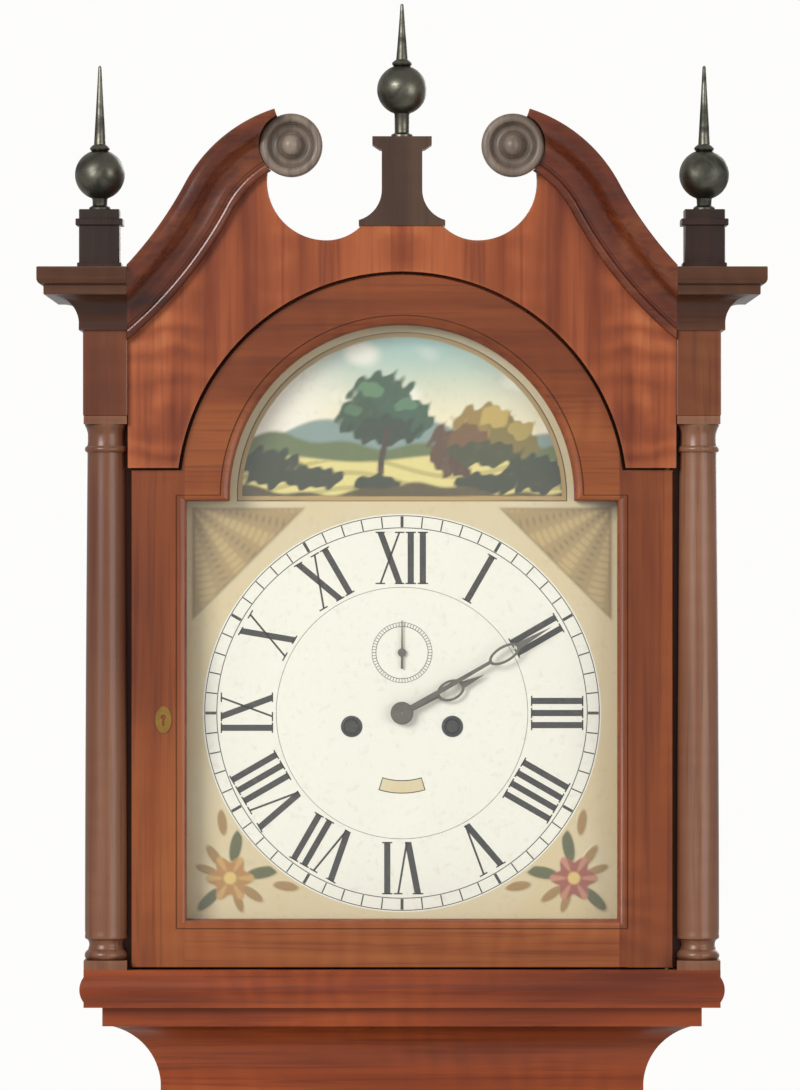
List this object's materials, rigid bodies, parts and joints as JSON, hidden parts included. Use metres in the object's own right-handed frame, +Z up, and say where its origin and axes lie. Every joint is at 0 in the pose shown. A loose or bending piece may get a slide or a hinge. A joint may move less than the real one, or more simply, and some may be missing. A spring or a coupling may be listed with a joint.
{
  "type": "longcase clock",
  "caption": "Longcase clock with a swan-neck hood, break-arch painted dial, weight-driven striking movement, hung doors and a pendulum.",
  "frame": {"origin": "on the floor, below the middle of the clock's bounding box", "axes": "+Z up, +Y towards the wall, +X to the right of someone facing the dial"},
  "size_m": [0.538, 0.274, 2.36],
  "materials": {
    "mahogany": "satin french polish",
    "pine": "matte aged",
    "aged_brass": "dull patina",
    "brass": "satin",
    "bell_metal": "satin",
    "steel": "satin",
    "painted_dial": "semi gloss",
    "glass": "clear",
    "cast_iron": "matte",
    "gut": "satin"
  },
  "bodies": {
    "case": {"backboard": "pine", "trunk_sides": "mahogany", "trunk_front_frame": "mahogany", "trunk_quarter_columns": "mahogany", "throat_moulding": "mahogany", "waist_moulding": "mahogany", "base_box": "mahogany", "base_moulding": "mahogany", "bracket_feet": "mahogany", "seatboard": "pine", "trunk_hinge_leaves": "brass", "dial_plate": "painted_dial", "front_plate": "brass", "back_plate": "brass", "plate_pillars": "brass", "back_cock": "brass", "bell": "bell_metal", "going_line": "gut", "strike_line": "gut"},
    "hood": {"hood_base_frame": "mahogany", "hood_sides": "mahogany", "tympanum_board": "mahogany", "swan_neck_mouldings": "mahogany", "scroll_rosettes": "mahogany", "cornice_mouldings": "mahogany", "corner_blocks": "mahogany", "hood_top_board": "pine", "finial_plinths": "mahogany", "finials": "aged_brass", "hood_columns": "mahogany", "dial_mask": "mahogany"},
    "hood_door": {"hood_door_frame": "mahogany", "hood_door_glass": "glass", "hood_door_fittings": "brass"},
    "trunk_door": {"trunk_door": "mahogany", "trunk_door_fittings": "brass"},
    "minute_arbor": {"minute_hand": "steel", "centre_wheel": "brass"},
    "hour_pipe": {"hour_hand": "steel", "hour_wheel": "brass"},
    "minute_wheel": {"minute_wheel": "brass"},
    "going_great_wheel": {"going_great_wheel": "brass"},
    "going_barrel": {"going_barrel": "brass"},
    "going_weight": {"going_weight": "cast_iron", "going_pulley": "brass"},
    "third_wheel": {"third_wheel": "brass"},
    "escape_arbor": {"escape_wheel": "brass", "seconds_hand": "steel"},
    "anchor": {"anchor": "steel"},
    "pendulum": {"pendulum_rod": "steel", "pendulum_bob": "brass"},
    "strike_great_wheel": {"strike_great_wheel": "brass"},
    "strike_barrel": {"strike_barrel": "brass"},
    "strike_weight": {"strike_weight": "cast_iron", "strike_pulley": "brass"},
    "pin_wheel": {"pin_wheel": "brass"},
    "gathering_wheel": {"gathering_wheel": "brass"},
    "warning_wheel": {"warning_wheel": "brass"},
    "fly": {"fly": "brass"},
    "hammer": {"hammer": "steel"}
  },
  "joints": [
    {"name": "hood_slide", "type": "slide", "parent": "case", "child": "hood", "axis": [0, -1, 0], "range_m": [0, 0.26]},
    {"name": "hood_door_hinge", "type": "hinge", "parent": "hood", "child": "hood_door", "pos_m": [0.1965, -0.089, 1.83], "axis": [0, 0, 1], "range_deg": [0, 95]},
    {"name": "trunk_door_hinge", "type": "hinge", "parent": "case", "child": "trunk_door", "pos_m": [0.1215, -0.0536, 1.08], "axis": [0, 0, 1], "range_deg": [0, 110]},
    {"name": "minute_spin", "type": "hinge", "parent": "case", "child": "minute_arbor", "pos_m": [0, 0, 1.8334], "axis": [0, 1, 0], "continuous": true},
    {"name": "hour_spin", "type": "hinge", "parent": "case", "child": "hour_pipe", "pos_m": [0, 0, 1.8334], "axis": [0, 1, 0], "continuous": true},
    {"name": "minute_wheel_spin", "type": "hinge", "parent": "case", "child": "minute_wheel", "pos_m": [0, 0, 1.8046], "axis": [0, 1, 0], "continuous": true},
    {"name": "going_great_spin", "type": "hinge", "parent": "case", "child": "going_great_wheel", "pos_m": [0.0375, 0, 1.8234], "axis": [0, 1, 0], "continuous": true},
    {"name": "third_spin", "type": "hinge", "parent": "case", "child": "third_wheel", "pos_m": [0.0106, 0, 1.85695], "axis": [0, 1, 0], "continuous": true},
    {"name": "escape_spin", "type": "hinge", "parent": "case", "child": "escape_arbor", "pos_m": [0, 0, 1.8784], "axis": [0, 1, 0], "continuous": true},
    {"name": "pendulum_swing", "type": "hinge", "parent": "case", "child": "pendulum", "pos_m": [0, 0, 1.9024], "axis": [0, 1, 0], "range_deg": [-2, 2]},
    {"name": "anchor_swing", "type": "hinge", "parent": "case", "child": "anchor", "pos_m": [0, 0, 1.9024], "axis": [0, 1, 0], "range_deg": [-2, 2]},
    {"name": "going_winding", "type": "hinge", "parent": "case", "child": "going_barrel", "pos_m": [0.0375, 0, 1.8234], "axis": [0, 1, 0], "range_deg": [0, 5040]},
    {"name": "going_weight_travel", "type": "slide", "parent": "case", "child": "going_weight", "axis": [0, 0, 1], "range_m": [0, 1.0995], "deforming": ["going_line"]},
    {"name": "strike_winding", "type": "hinge", "parent": "case", "child": "strike_barrel", "pos_m": [-0.0375, 0, 1.8234], "axis": [0, 1, 0], "range_deg": [0, 5040]},
    {"name": "strike_weight_travel", "type": "slide", "parent": "case", "child": "strike_weight", "axis": [0, 0, 1], "range_m": [0, 1.0995], "deforming": ["strike_line"]},
    {"name": "gathering_spin", "type": "hinge", "parent": "case", "child": "gathering_wheel", "pos_m": [-0.028, 0, 1.8757], "axis": [0, 1, 0], "continuous": true},
    {"name": "strike_great_spin", "type": "hinge", "parent": "case", "child": "strike_great_wheel", "pos_m": [-0.0375, 0, 1.8234], "axis": [0, 1, 0], "continuous": true},
    {"name": "pin_spin", "type": "hinge", "parent": "case", "child": "pin_wheel", "pos_m": [-0.042, 0, 1.8574], "axis": [0, 1, 0], "continuous": true},
    {"name": "warning_spin", "type": "hinge", "parent": "case", "child": "warning_wheel", "pos_m": [-0.038, 0, 1.891], "axis": [0, 1, 0], "continuous": true},
    {"name": "fly_spin", "type": "hinge", "parent": "case", "child": "fly", "pos_m": [-0.0255, 0, 1.8974], "axis": [0, 1, 0], "continuous": true},
    {"name": "hammer_lift", "type": "hinge", "parent": "case", "child": "hammer", "pos_m": [-0.06, 0, 1.8934], "axis": [0, 1, 0], "range_deg": [-12, 0], "stiffness_Nm_per_rad": 0.05}
  ],
  "couplings": [
    {"joint": "hour_spin", "follows": "minute_spin", "ratio": 0.083333},
    {"joint": "minute_wheel_spin", "follows": "minute_spin", "ratio": -1},
    {"joint": "going_great_spin", "follows": "minute_spin", "ratio": -0.083333},
    {"joint": "third_spin", "follows": "minute_spin", "ratio": -7.5},
    {"joint": "escape_spin", "follows": "minute_spin", "ratio": 60},
    {"joint": "anchor_swing", "follows": "pendulum_swing", "ratio": 1},
    {"joint": "going_winding", "follows": "going_weight_travel", "rad_per_m": 80},
    {"joint": "strike_winding", "follows": "strike_weight_travel", "rad_per_m": 80},
    {"joint": "pin_spin", "follows": "gathering_spin", "ratio": -0.125},
    {"joint": "strike_great_spin", "follows": "gathering_spin", "ratio": 0.011905},
    {"joint": "warning_spin", "follows": "gathering_spin", "ratio": -8},
    {"joint": "fly_spin", "follows": "gathering_spin", "ratio": 64}
  ]
}
